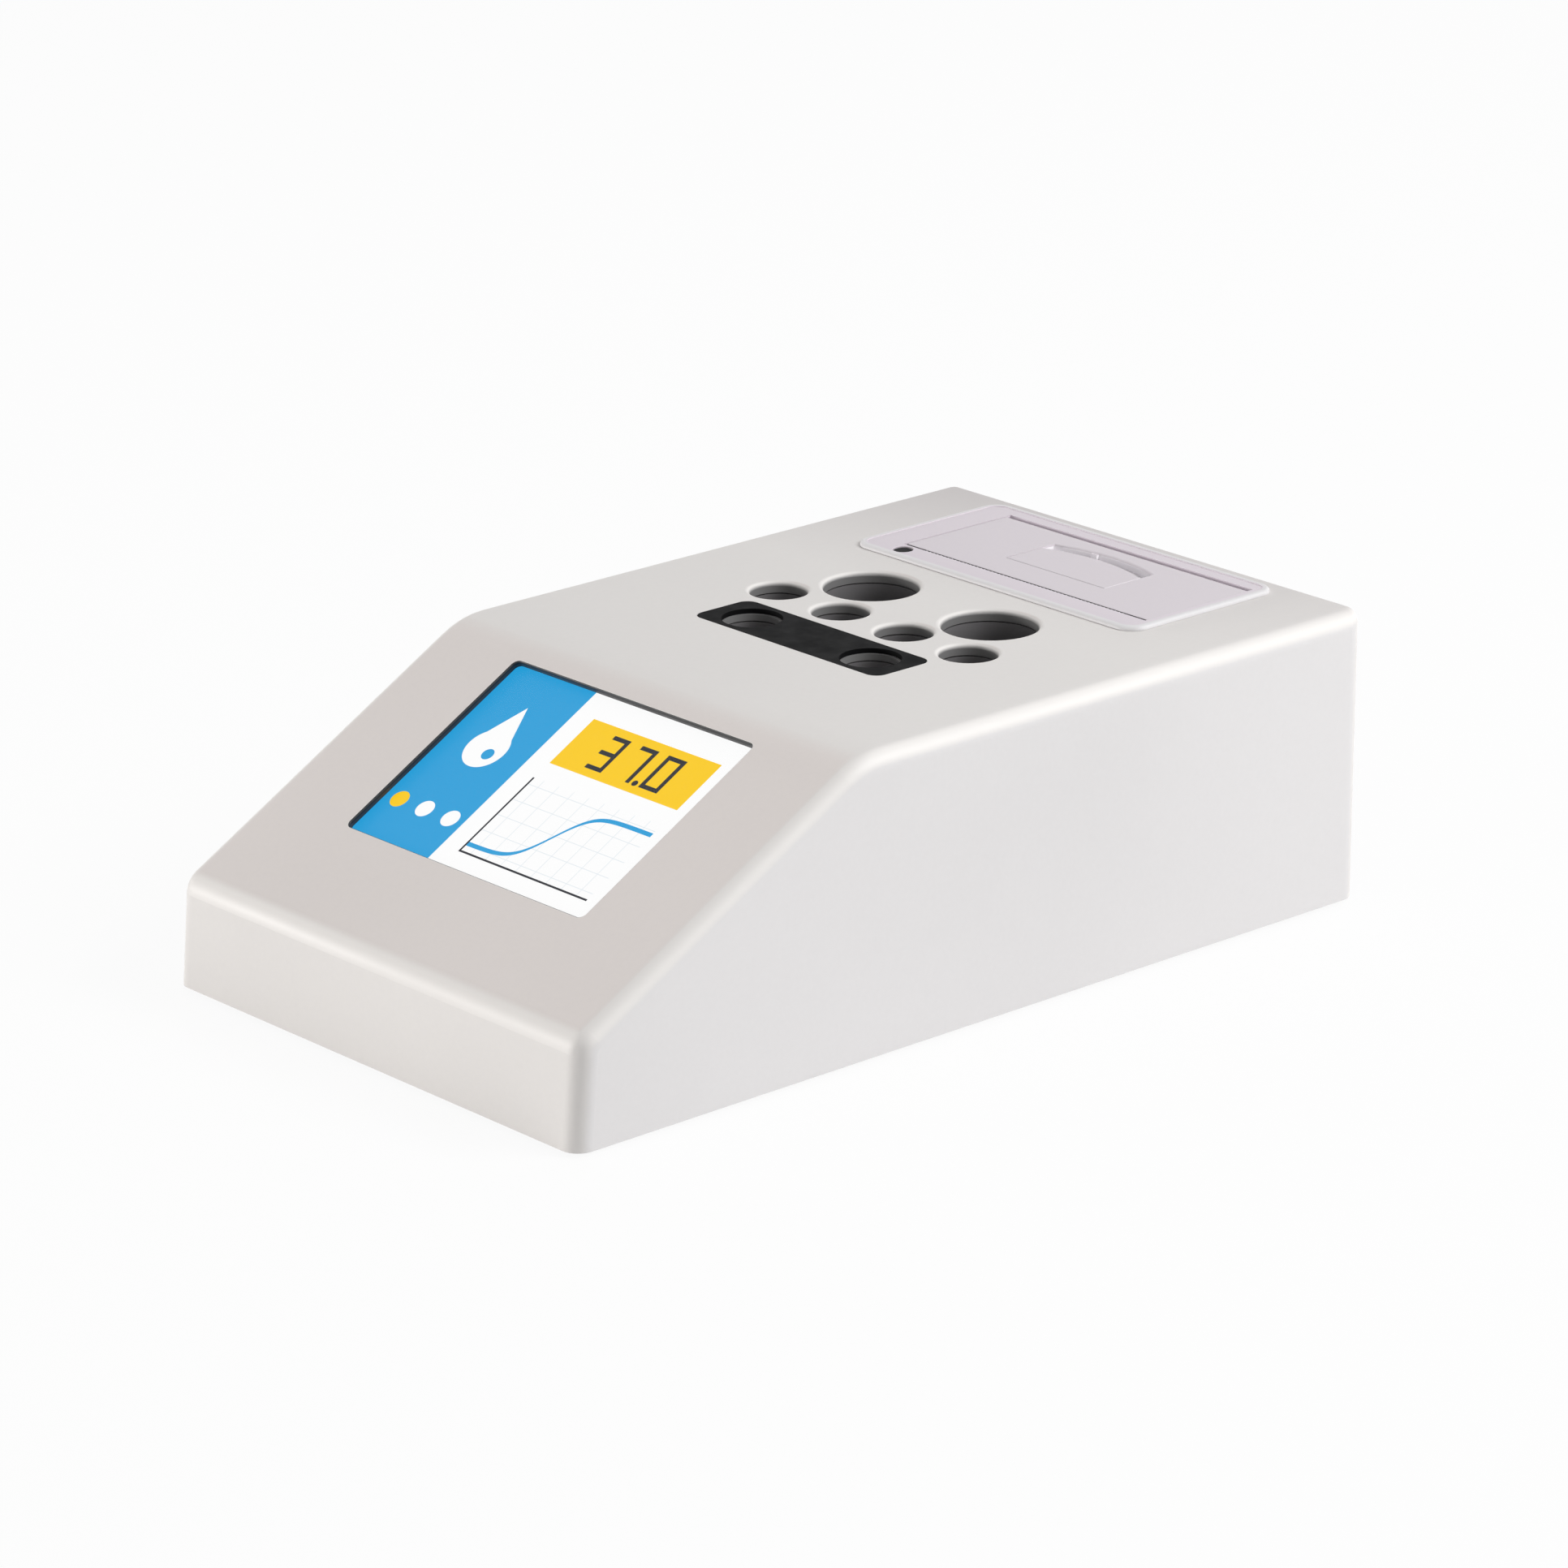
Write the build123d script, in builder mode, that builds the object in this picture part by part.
from build123d import *
from math import atan2, cos, degrees, hypot, pi, sin
import os

# A bench-top coagulation analyzer: a wedge-shaped moulded cover over a base plate, with a sloping
# display, six incubation wells, two measuring wells under a black strip, and a panel printer.
# +X is the operator's right, +Y the rear, +Z up. The origin lies on the bench under the body's middle.

os.makedirs("parts", exist_ok=True)

# Clearances
overrun = 1.0  # how far a cut runs past the faces that it opens
seat_gap = 0.1  # between pieces that rest on each other
slip_gap = 0.3  # between pieces that slide past each other when they are put together
running_gap = 0.05  # radial, between a shaft and its hole
tolerance = 0.01  # for choosing edges by their place

# Body
body_width = 125.0
body_length = 215.0
body_height = 63.0
foot_drop = 1.0
lip_height = 22.5
front_lean = 1.8
ridge_setback = 74.4
cover_wall = 2.5
lip_radius = 6.0
ridge_radius = 22.0
rear_edge_radius = 2.0
side_edge_radius = 4.0

# Display window in the slope
window_start = 25.6
window_width = 72.4
window_length = 51.2
window_radius = 1.4
window_edge_radius = 0.4
window_lip = 0.6

# Wells
tube_radius = 6.05
vial_radius = 10.1
tube_pitch = 19.1
tube_row_offset = 16.4
tube_count = 4
vial_pitch = 35.8
vial_row_offset = 38.3
well_rim_radius = 1.1
channel_pitch = 35.8
channel_row_offset = 17.0

# Measuring strip
strip_width = 55.6
strip_depth = 15.6
strip_thickness = 1.0
strip_radius = 2.8
strip_hole_radius = 6.4

# Printer bezel and the cut-out under it
bezel_width = 84.4
bezel_depth = 43.2
bezel_setback = 26.5
bezel_rise = 1.0
bezel_radius = 4.5
bezel_edge_radius = 0.8
bezel_bead = 1.6
bezel_bead_height = 0.2
bezel_bead_radius = 0.15
printer_width = 82.0
printer_depth = 39.6
printer_radius = 2.0
bezel_frame_drop = 3.5

# Paper door, hinged along its rear edge
door_width = 72.0
door_center_x = 3.0
door_front_reach = 13.95
door_thickness = 2.0
door_drop = 0.3
door_gap = 0.25
door_edge_radius = 0.25
hinge_radius = 1.5
hinge_reach = 15.1
hinge_rear_gap = 0.4
hinge_pin_radius = 0.7
hinge_pin_reach = 1.5

# Latch plate in the door, pivoted at its front edge
latch_width = 29.4
latch_front_reach = 5.15
latch_thickness = 1.6
latch_edge_radius = 0.3
latch_nose_depth = 1.6
latch_pivot_drop = 2.2
latch_end_length = 10.7
latch_arch = 2.7
latch_gap = 0.15
latch_shaft_radius = 0.8
recess_reach = 3.5
recess_depth = 1.8
recess_edge_radius = 0.6
recess_floor = 0.8
recess_rib_width = 1.8
recess_rib_x = -1.6
latch_bar_half = 1.2
hook_thickness = 1.2
hook_width = 2.6
hook_drop = 10.5
hook_nose = 1.4
hook_nose_reach = 1.3
catch_gap = 0.2
catch_clear = 1.3
catch_depth = 1.4
catch_drop = 0.25
spring_width = 6.0
spring_wall = 0.6
spring_clearance = 0.1

# Paper bay and print mechanism
paper_width = 58.0
bay_gap = 2.0
recess_wall = 1.2
printer_wall = 1.5
printer_floor_height = 16.0
guide_thickness = 1.2
guide_height = 36.5
platen_radius = 3.0
platen_shaft_radius = 1.25
platen_reach = 10.6
platen_clear = 0.7
ear_thickness = 1.5
ear_gap = 0.9
ear_half_depth = 2.8
ear_below = 2.6
paper_gap = 0.35
head_thickness = 1.2
head_height = 12.0
sink_thickness = 1.5
sink_height = 15.0
head_spring_radius = 2.0
head_spring_share = 0.3
tear_length = 60.0
tear_thickness = 0.4
tear_tooth_height = 0.65
tear_teeth = 54
tear_land_share = 0.12

# Printer gears
gear_module = 0.5
gear_width = 2.4
platen_teeth = 12
drive_teeth = 24
pinion_teeth = 12
tooth_tip = 0.45
tooth_root = 0.6
tooth_corner_shares = (-0.29, -0.1, 0.1, 0.29)
gear_backlash = 0.05
gear_axle_radius = 1.0
motor_radius = 8.0
motor_side_gap = 4.9
motor_shaft_radius = 0.75
motor_boss_radius = 4.0
motor_boss_length = 1.0
motor_flange_height = 5.0
motor_flange_reach = 11.0
motor_flange_thickness = 0.8

# Feed button in the bezel's corner
button_x = -30.6
button_reach = 17.4
button_hole_radius = 2.2
button_rim_radius = 0.2
button_gap = 0.1
button_sink = 0.5
button_travel = 0.5
button_stem_radius = 1.0
button_flange_radius = 2.8
button_flange_thickness = 0.6
button_stem_drop = 0.5
button_board_thickness = 1.0
button_board_width = 6.8
button_board_depth = 4.6
button_switch_width = 3.6
button_switch_height = 1.6

# Clamps that pull the printer down onto the cover
clamp_width = 14.0
clamp_height = 9.0
clamp_reach = 6.0
clamp_thickness = 1.2
clamp_rearward = 7.0
clamp_screw_radius = 1.25
clamp_screw_head_radius = 2.4
clamp_screw_head = 1.4

# Printer control board
printer_board_thickness = 1.6
printer_board_width = 66.0
printer_board_length = 24.0
printer_board_drop = 3.0
printer_board_forward = 5.3
printer_post_radius = 2.4
printer_post_inset = 4.0

# Base plate, feet and cover screws
base_thickness = 2.0
base_gap = 0.4
base_corner_radius = 1.4
foot_radius = 6.0
foot_inset = 0.8
foot_side_inset = 18.5
foot_end_inset = 13.5
foot_edge_radius = 0.3
boss_inset = 6.5
boss_front_setback = 10.5
boss_rear_setback = 23.5
boss_radius = 4.2
boss_height = 13.0
screw_radius = 1.5
screw_pilot_depth = 9.0
screw_head_radius = 2.8
screw_head_height = 1.4
screw_reach = 7.0
drive_slot_radius = 1.2
drive_slot_depth = 0.7
vent_width = 2.0
vent_length = 30.0
vent_pitch = 5.0
vent_count = 7
rear_vent_count = 4
rear_vent_setback = 67.5

# Rear panel and connectors
rear_opening_margin = 7.0
rear_opening_height = 28.0
rear_opening_bottom = 4.5
rear_opening_radius = 2.5
panel_thickness = 1.0
panel_margin = 1.5
panel_top_margin = 8.5
panel_screw_inset = 14.5
panel_screw_rise = 4.5
panel_slot_width = 2.0
panel_slot_height = 10.0
panel_slot_pitch = 4.6
panel_slot_count = 15
panel_slot_x = -8.0
panel_slot_rise = 20.0
connector_rise = 6.2
jack_x = 14.0
jack_radius = 4.2
jack_flange_radius = 5.4
jack_flange = 1.4
jack_length = 12.0
jack_bore_radius = 2.8
jack_bore_depth = 9.5
jack_pin_radius = 1.05
port_x = -8.0
port_width = 13.0
port_height = 5.6
port_length = 14.0
port_wall = 0.4
port_tongue = 1.8
port_tongue_inset = 1.0
switch_inset = 7.5
switch_width = 12.6
switch_height = 19.2
switch_depth = 14.0
switch_flange_width = 14.4
switch_flange_height = 21.2
switch_flange = 1.2
switch_flange_radius = 1.0
rocker_width = 9.6
rocker_height = 14.4
rocker_gap = 0.5
rocker_tilt = 7.0
rocker_pivot_depth = 3.6
rocker_pivot_radius = 1.0
rocker_proud = -0.3
rocker_swell = 0.6
rocker_notch = 1.2
rocker_back = 2.6
rocker_floor = 2.0

# Display stack behind the window
display_frame_thickness = 0.7
display_frame_margin = 3.6
touch_thickness = 0.7
touch_margin = 2.4
lcd_thickness = 2.5
lcd_margin = 3.2
display_board_thickness = 1.6
display_board_width = 90.0
display_board_length = 62.0
display_screw_inset = 3.0
display_boss_radius = 2.6
display_screw_radius = 1.0
display_screw_head_radius = 2.0
display_screw_head = 1.2
display_screw_reach = 2.6
ribbon_width = 16.0
ribbon_thickness = 0.3
ribbon_drop = 6.0
ribbon_bend_radius = 2.5

# Main board
board_thickness = 1.6
board_side_gap = 10.0
board_front_setback = 15.5
board_bracket_gap = 11.1
board_post_height = 5.0
board_post_radius = 3.0
board_post_inset = 5.0
chip_height = 1.4
socket_height = 5.0
# Chips and connectors: place and size as shares of the board, and a height
main_chip_shares = [
    (0.05, 0.1, 0.18, 0.21, chip_height),
    (-0.28, 0.28, 0.1, 0.12, chip_height),
    (0.3, 0.3, 0.12, 0.1, chip_height),
    (-0.1, -0.2, 0.12, 0.08, chip_height),
    (0.0, -0.43, 0.22, 0.06, socket_height),
    (0.33, 0.44, 0.16, 0.06, socket_height),
    (-0.3, 0.44, 0.2, 0.06, socket_height),
    (0.4, 0.0, 0.06, 0.24, socket_height),
    (-0.42, -0.05, 0.06, 0.2, socket_height),
]
printer_chip_shares = [
    (-0.15, 0.0, 0.16, 0.4, chip_height),
    (0.2, 0.1, 0.1, 0.24, chip_height),
    (0.05, -0.36, 0.4, 0.16, chip_height),
]
display_chip_shares = [
    (-0.2, 0.1, 0.14, 0.2, chip_height),
    (0.22, 0.15, 0.12, 0.16, chip_height),
    (0.0, -0.4, 0.3, 0.08, chip_height),
]
ribbon_top_share = -0.3
ribbon_foot_share = -0.3
buzzer_x_share = 0.25
buzzer_y_share = -0.25
cell_x_share = -0.28
cell_y_share = 0.02
buzzer_radius = 6.0
buzzer_height = 8.0
cell_radius = 8.0
cell_height = 4.0

# Heated block, its heater, optics and stirrers
block_side_margin = 3.3
block_front_margin = 7.7
block_rear_margin = 11.8
nose_side_margin = 4.05
nose_front_margin = 8.3
block_height = 31.1
well_depth = 27.5
block_edge_radius = 1.5
standoff_radius = 3.0
standoff_side_inset = 5.0
standoff_end_inset = 4.4
heater_thickness = 1.6
heater_side_inset = 11.0
heater_end_inset = 6.0
probe_radius = 1.5
probe_depth = 12.0
probe_tail = 3.0
probe_height_share = 0.4
cutout_radius = 5.0
cutout_thickness = 3.0
cutout_x = 20.0
led_radius = 2.5
led_flange_radius = 2.9
led_flange = 1.0
led_reach = 4.0
led_height_share = 0.32
optic_board_thickness = 1.6
optic_board_height = 14.0
optic_board_margin = 6.0
stirrer_gap = 1.6
stirrer_disc_radius = 7.0
stirrer_disc_thickness = 3.0
stirrer_shaft_radius = 1.0
stirrer_shaft_drop = 9.0
magnet_radius = 1.8
magnet_offset = 4.4
magnet_height = 2.4
bracket_thickness = 1.5
bracket_half_depth = 6.2
bracket_half_width = 29.0
bracket_foot = 6.0
bracket_gap = 1.0
bracket_hole_radius = 2.4
stirrer_motor_radius = 6.0
stirrer_motor_length = 12.0

# Places that follow from the sizes
x_side = body_width / 2
y_front = -body_length / 2
y_rear = body_length / 2
bezel_y = y_rear - bezel_setback
door_front_y = bezel_y - door_front_reach
hinge_y = bezel_y + hinge_reach
latch_front_y = bezel_y - latch_front_reach
platen_y = bezel_y - platen_reach
clamp_y = bezel_y + clamp_rearward
button_y = bezel_y - button_reach
vial_row_y = bezel_y - vial_row_offset
tube_row_y = vial_row_y - tube_row_offset
channel_y = tube_row_y - channel_row_offset
boss_x = x_side - boss_inset
foot_x = x_side - foot_side_inset
foot_y = y_rear - foot_end_inset
rear_vent_y = y_rear - rear_vent_setback
rear_opening_width = body_width - 2 * rear_opening_margin
panel_screw_x = x_side - panel_screw_inset
switch_x = rear_opening_width / 2 - switch_inset
display_screw_x = display_board_width / 2 - display_screw_inset
display_screw_y = display_board_length / 2 - display_screw_inset
z_base = foot_drop
z_top = z_base + body_height
z_floor = z_base + base_thickness
z_ceiling = z_top - cover_wall
lip_y = y_front + front_lean
lip_z = z_base + lip_height
ridge_y = y_front + ridge_setback
slope_angle = atan2(z_top - lip_z, ridge_y - lip_y)
slope_middle = window_start + window_length / 2
window_plane = Plane(
    origin=(0, lip_y + slope_middle * cos(slope_angle), lip_z + slope_middle * sin(slope_angle)),
    x_dir=(1, 0, 0),
    z_dir=(0, -sin(slope_angle), cos(slope_angle)),
)
tube_places = [((place - (tube_count - 1) / 2) * tube_pitch, tube_row_y) for place in range(tube_count)]
vial_places = [(side * vial_pitch / 2, vial_row_y) for side in (-1, 1)]
channel_places = [(side * channel_pitch / 2, channel_y) for side in (-1, 1)]
boss_front_y = y_front + boss_front_setback
boss_rear_y = y_rear - boss_rear_setback
boss_places = [(side * boss_x, y) for side in (-1, 1) for y in (boss_front_y, boss_rear_y)]
strip_rear_y = channel_y + strip_depth / 2
rear_opening_z = z_base + rear_opening_bottom + rear_opening_height / 2
rear_inner_y = y_rear - cover_wall
panel_rear_y = rear_inner_y - seat_gap
panel_screw_z = z_base + rear_opening_bottom + rear_opening_height + panel_screw_rise
rear_screw_frames = [
    Plane(origin=(side * panel_screw_x, y_rear, panel_screw_z), x_dir=(1, 0, 0), z_dir=(0, 1, 0)).location
    for side in (-1, 1)
]
rebate_width = window_width + 2 * (display_frame_margin + slip_gap)
rebate_length = window_length + 2 * (display_frame_margin + slip_gap)
frame_front_depth = window_lip + running_gap
touch_front_depth = frame_front_depth + display_frame_thickness + running_gap
lcd_front_depth = touch_front_depth + touch_thickness + running_gap
board_front_depth = lcd_front_depth + lcd_thickness + running_gap


hex_sides = 6
panel_sink = screw_head_radius - screw_radius
panel_screw_reach = cover_wall + panel_thickness + screw_head_height
tray_front_y = y_front + cover_wall + base_gap
tray_rear_y = rear_inner_y - base_gap
tray_y = (tray_front_y + tray_rear_y) / 2
tray_length = tray_rear_y - tray_front_y
tray_width = body_width - 2 * (cover_wall + base_gap)
board_front_y = y_front + board_front_setback
board_rear_y = channel_y - bracket_half_depth - board_bracket_gap
board_y = (board_front_y + board_rear_y) / 2
board_length = board_rear_y - board_front_y
board_width = body_width - 2 * (cover_wall + board_side_gap)
board_under_z = z_floor + board_post_height
board_top_z = board_under_z + seat_gap + board_thickness
board_post_places = [
    (side * (board_width / 2 - board_post_inset), board_y + end * (board_length / 2 - board_post_inset))
    for side in (-1, 1)
    for end in (-1, 1)
]
panel_bottom_z = z_floor + base_gap
panel_top_z = z_base + rear_opening_bottom + rear_opening_height + panel_top_margin
connector_z = z_base + rear_opening_bottom + connector_rise
rocker_face_y = panel_rear_y + seat_gap + switch_flange + rocker_proud
rocker_pivot_y = rocker_face_y - rocker_pivot_depth

block_half_width = (tube_count - 1) / 2 * tube_pitch + tube_radius + block_side_margin
block_front_y = tube_row_y - block_front_margin
block_rear_y = vial_row_y + block_rear_margin
nose_half_width = channel_pitch / 2 + tube_radius + nose_side_margin
nose_front_y = channel_y - nose_front_margin
standoff_x = block_half_width - standoff_side_inset
heater_half_width = block_half_width - heater_side_inset
heater_front_y = block_front_y + heater_end_inset
heater_rear_y = block_rear_y - heater_end_inset
block_top_z = z_top - cover_wall - slip_gap
block_bottom_z = block_top_z - block_height
optic_z = block_top_z - well_depth + led_height_share * well_depth
probe_z = block_bottom_z + probe_height_share * block_height
standoff_front_y = block_front_y + standoff_end_inset
standoff_rear_y = block_rear_y - standoff_end_inset
standoff_places = [(side * standoff_x, y) for side in (-1, 1) for y in (standoff_front_y, standoff_rear_y)]
disc_bottom_z = block_bottom_z - stirrer_gap - stirrer_disc_thickness
bracket_top_z = disc_bottom_z - bracket_gap
shaft_end_z = bracket_top_z - bracket_thickness - stirrer_shaft_drop + seat_gap
bracket_foot_z = z_floor + seat_gap
bracket_inner = bracket_half_width - bracket_thickness
bracket_outline = [
    (-bracket_half_width - bracket_foot, bracket_foot_z),
    (-bracket_inner, bracket_foot_z),
    (-bracket_inner, bracket_top_z - bracket_thickness),
    (bracket_inner, bracket_top_z - bracket_thickness),
    (bracket_inner, bracket_foot_z),
    (bracket_half_width + bracket_foot, bracket_foot_z),
    (bracket_half_width + bracket_foot, bracket_foot_z + bracket_thickness),
    (bracket_half_width, bracket_foot_z + bracket_thickness),
    (bracket_half_width, bracket_top_z),
    (-bracket_half_width, bracket_top_z),
    (-bracket_half_width, bracket_foot_z + bracket_thickness),
    (-bracket_half_width - bracket_foot, bracket_foot_z + bracket_thickness),
]
buzzer_place = (buzzer_x_share * board_width, board_y + buzzer_y_share * board_length)
cell_place = (cell_x_share * board_width, board_y + cell_y_share * board_length)
ribbon_socket = window_plane.offset(-board_front_depth - display_board_thickness - seat_gap)
ribbon_start = ribbon_socket.from_local_coords(Vector(0, ribbon_top_share * display_board_length, 0))
ribbon_turn = ribbon_socket.offset(-ribbon_drop).from_local_coords(
    Vector(0, ribbon_top_share * display_board_length, 0)
)
ribbon_foot_y = board_y + ribbon_foot_share * board_length
ribbon_route = [
    (ribbon_start.Y, ribbon_start.Z),
    (ribbon_turn.Y, ribbon_turn.Z),
    (ribbon_foot_y, board_top_z + ribbon_drop),
    (ribbon_foot_y, board_top_z + seat_gap),
]
printer_bottom_z = z_base + printer_floor_height
printer_rim_z = z_top - bezel_frame_drop - seat_gap
bay_floor_z = printer_bottom_z + printer_wall
guide_half_gap = paper_width / 2 + bay_gap
door_top_z = z_top + bezel_rise - door_drop
hinge_z = door_top_z - hinge_radius
platen_z = door_top_z - door_thickness - platen_clear - platen_radius
platen_center = (platen_y, platen_z)
ear_inner = guide_half_gap
ear_height = door_top_z - door_thickness - platen_z + ear_below
tear_front_y = door_front_y - slip_gap - tear_thickness
door_mouth_front_y = tear_front_y - running_gap
door_mouth_rear_y = hinge_y + hinge_radius + hinge_rear_gap
head_face_y = platen_y - platen_radius - paper_gap
head_top_z = z_top - bezel_frame_drop - slip_gap
head_spring_length = (
    head_face_y - head_thickness - sink_thickness - 2 * seat_gap - (bezel_y - printer_depth / 2 + printer_wall)
)
latch_x = door_center_x
latch_left_x = latch_x - latch_width / 2
latch_right_x = latch_x + latch_width / 2
latch_pivot_y = latch_front_y + latch_nose_depth
latch_pivot_z = door_top_z - latch_pivot_drop
latch_end_y = latch_front_y + latch_end_length
latch_nose_swing = hypot(latch_nose_depth, latch_pivot_drop) + seat_gap
latch_rib_half = 2 * latch_shaft_radius + seat_gap
latch_shaft_half = guide_half_gap - catch_gap
recess_end_y = latch_end_y + recess_reach
spring_radius = latch_shaft_radius + spring_clearance + spring_wall
hook_bottom_z = latch_pivot_z - hook_drop
catch_height = bay_floor_z + guide_height - hook_bottom_z - hook_nose - catch_drop
catch_y = latch_pivot_y - hook_width / 2 - hook_nose_reach - catch_clear - catch_depth / 2
tub_outline = [
    (latch_left_x - recess_wall, latch_pivot_y),
    (latch_right_x + recess_wall, latch_pivot_y),
    (latch_right_x + recess_wall, hinge_y),
    (latch_left_x - recess_wall, hinge_y),
]
tooth_pitch = tear_length / tear_teeth
tear_bottom_z = z_top - bezel_frame_drop + seat_gap
tear_left_x = door_center_x - tear_length / 2
tear_outline = [(tear_left_x, tear_bottom_z)]
for tooth in range(tear_teeth):
    tooth_x = tear_left_x + tooth * tooth_pitch
    tear_outline.append((tooth_x, door_top_z - tear_tooth_height))
    tear_outline.append((tooth_x + (1 - tear_land_share) * tooth_pitch / 2, door_top_z))
    tear_outline.append((tooth_x + (1 + tear_land_share) * tooth_pitch / 2, door_top_z))
tear_outline.append((tear_left_x + tear_length, door_top_z - tear_tooth_height))
tear_outline.append((tear_left_x + tear_length, tear_bottom_z))
# The gears stand in the line along which the platen leaves when the door starts to open
lift_y = platen_z - hinge_z
lift_z = hinge_y - platen_y
mesh_angle = atan2(lift_z, lift_y)
platen_to_drive = gear_module * (platen_teeth + drive_teeth) / 2 + gear_backlash
drive_to_pinion = gear_module * (drive_teeth + pinion_teeth) / 2 + gear_backlash
drive_center = (platen_y - platen_to_drive * cos(mesh_angle), platen_z - platen_to_drive * sin(mesh_angle))
pinion_center = (
    drive_center[0] - drive_to_pinion * cos(mesh_angle),
    drive_center[1] - drive_to_pinion * sin(mesh_angle),
)
gear_x = door_center_x + ear_inner + ear_thickness + ear_gap
motor_length = x_side - cover_wall - motor_side_gap - printer_width / 2 - seat_gap
clamp_top_z = z_ceiling - seat_gap
clamp_screw_z = clamp_top_z - clamp_height / 2
clamp_inner_x = printer_width / 2 + seat_gap
clamp_outline = [
    (clamp_inner_x, clamp_top_z - clamp_height),
    (clamp_inner_x, clamp_top_z),
    (clamp_inner_x + clamp_reach, clamp_top_z),
    (clamp_inner_x + clamp_reach, clamp_top_z - clamp_thickness),
    (clamp_inner_x + clamp_thickness, clamp_top_z - clamp_thickness),
    (clamp_inner_x + clamp_thickness, clamp_top_z - clamp_height),
]
printer_board_y = bezel_y - printer_board_forward
printer_post_places = [
    (
        side * (printer_board_width / 2 - printer_post_inset),
        printer_board_y + end * (printer_board_length / 2 - printer_post_inset),
    )
    for side in (-1, 1)
    for end in (-1, 1)
]
button_top_z = z_top + bezel_rise - button_sink
button_flange_top_z = z_top - bezel_frame_drop - seat_gap
button_stem_end_z = button_flange_top_z - button_flange_thickness - button_stem_drop
button_switch_top_z = button_stem_end_z - button_travel - running_gap
button_board_z = button_switch_top_z - button_switch_height - button_board_thickness


def meet(first, second):
    """Where two lines of the side view cross; each is a point and a direction."""
    (first_y, first_z), (first_dy, first_dz) = first
    (second_y, second_z), (second_dy, second_dz) = second
    across = (second_y - first_y) * second_dz - (second_z - first_z) * second_dy
    step = across / (first_dy * second_dz - first_dz * second_dy)
    return (first_y + step * first_dy, first_z + step * first_dz)


def side_outline(inset, floor):
    """The corners of the cover's side view, moved in from its outer faces, down to a floor height."""
    lean = atan2(front_lean, lip_height)
    front = ((y_front + inset / cos(lean), z_base), (sin(lean), cos(lean)))
    slope_start = (lip_y + inset * sin(slope_angle), lip_z - inset * cos(slope_angle))
    slope = (slope_start, (cos(slope_angle), sin(slope_angle)))
    top = ((y_front, z_top - inset), (1, 0))
    bottom = ((y_front, floor), (1, 0))
    rear = y_rear - inset
    corners = [meet(front, bottom), meet(front, slope), meet(slope, top)]
    return corners + [(rear, z_top - inset), (rear, floor)]


def round_bends(inset, floor):
    """Rounds the lip, the ridge and the rear edge of the side view in the open sketch.

    Inside, a bend that is tighter than the wall is thick stays square.
    """
    bends = side_outline(inset, floor)[1:4]
    for bend, radius in zip(bends, (lip_radius, ridge_radius, rear_edge_radius)):
        if radius > inset:
            fillet(vertices().sort_by_distance(bend)[0], radius - inset)


def on_window_rim(edge):
    """Whether an edge lies on the outer outline of the display window."""
    place = window_plane.to_local_coords(edge.center())
    inside = abs(place.X) < window_width / 2 + tolerance and abs(place.Y) < window_length / 2 + tolerance
    return inside and abs(place.Z) < tolerance


def finish(piece, name):
    """Names a finished piece and writes it."""
    piece.part.label = name
    export_step(piece.part, f"parts/{name}.step")


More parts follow.
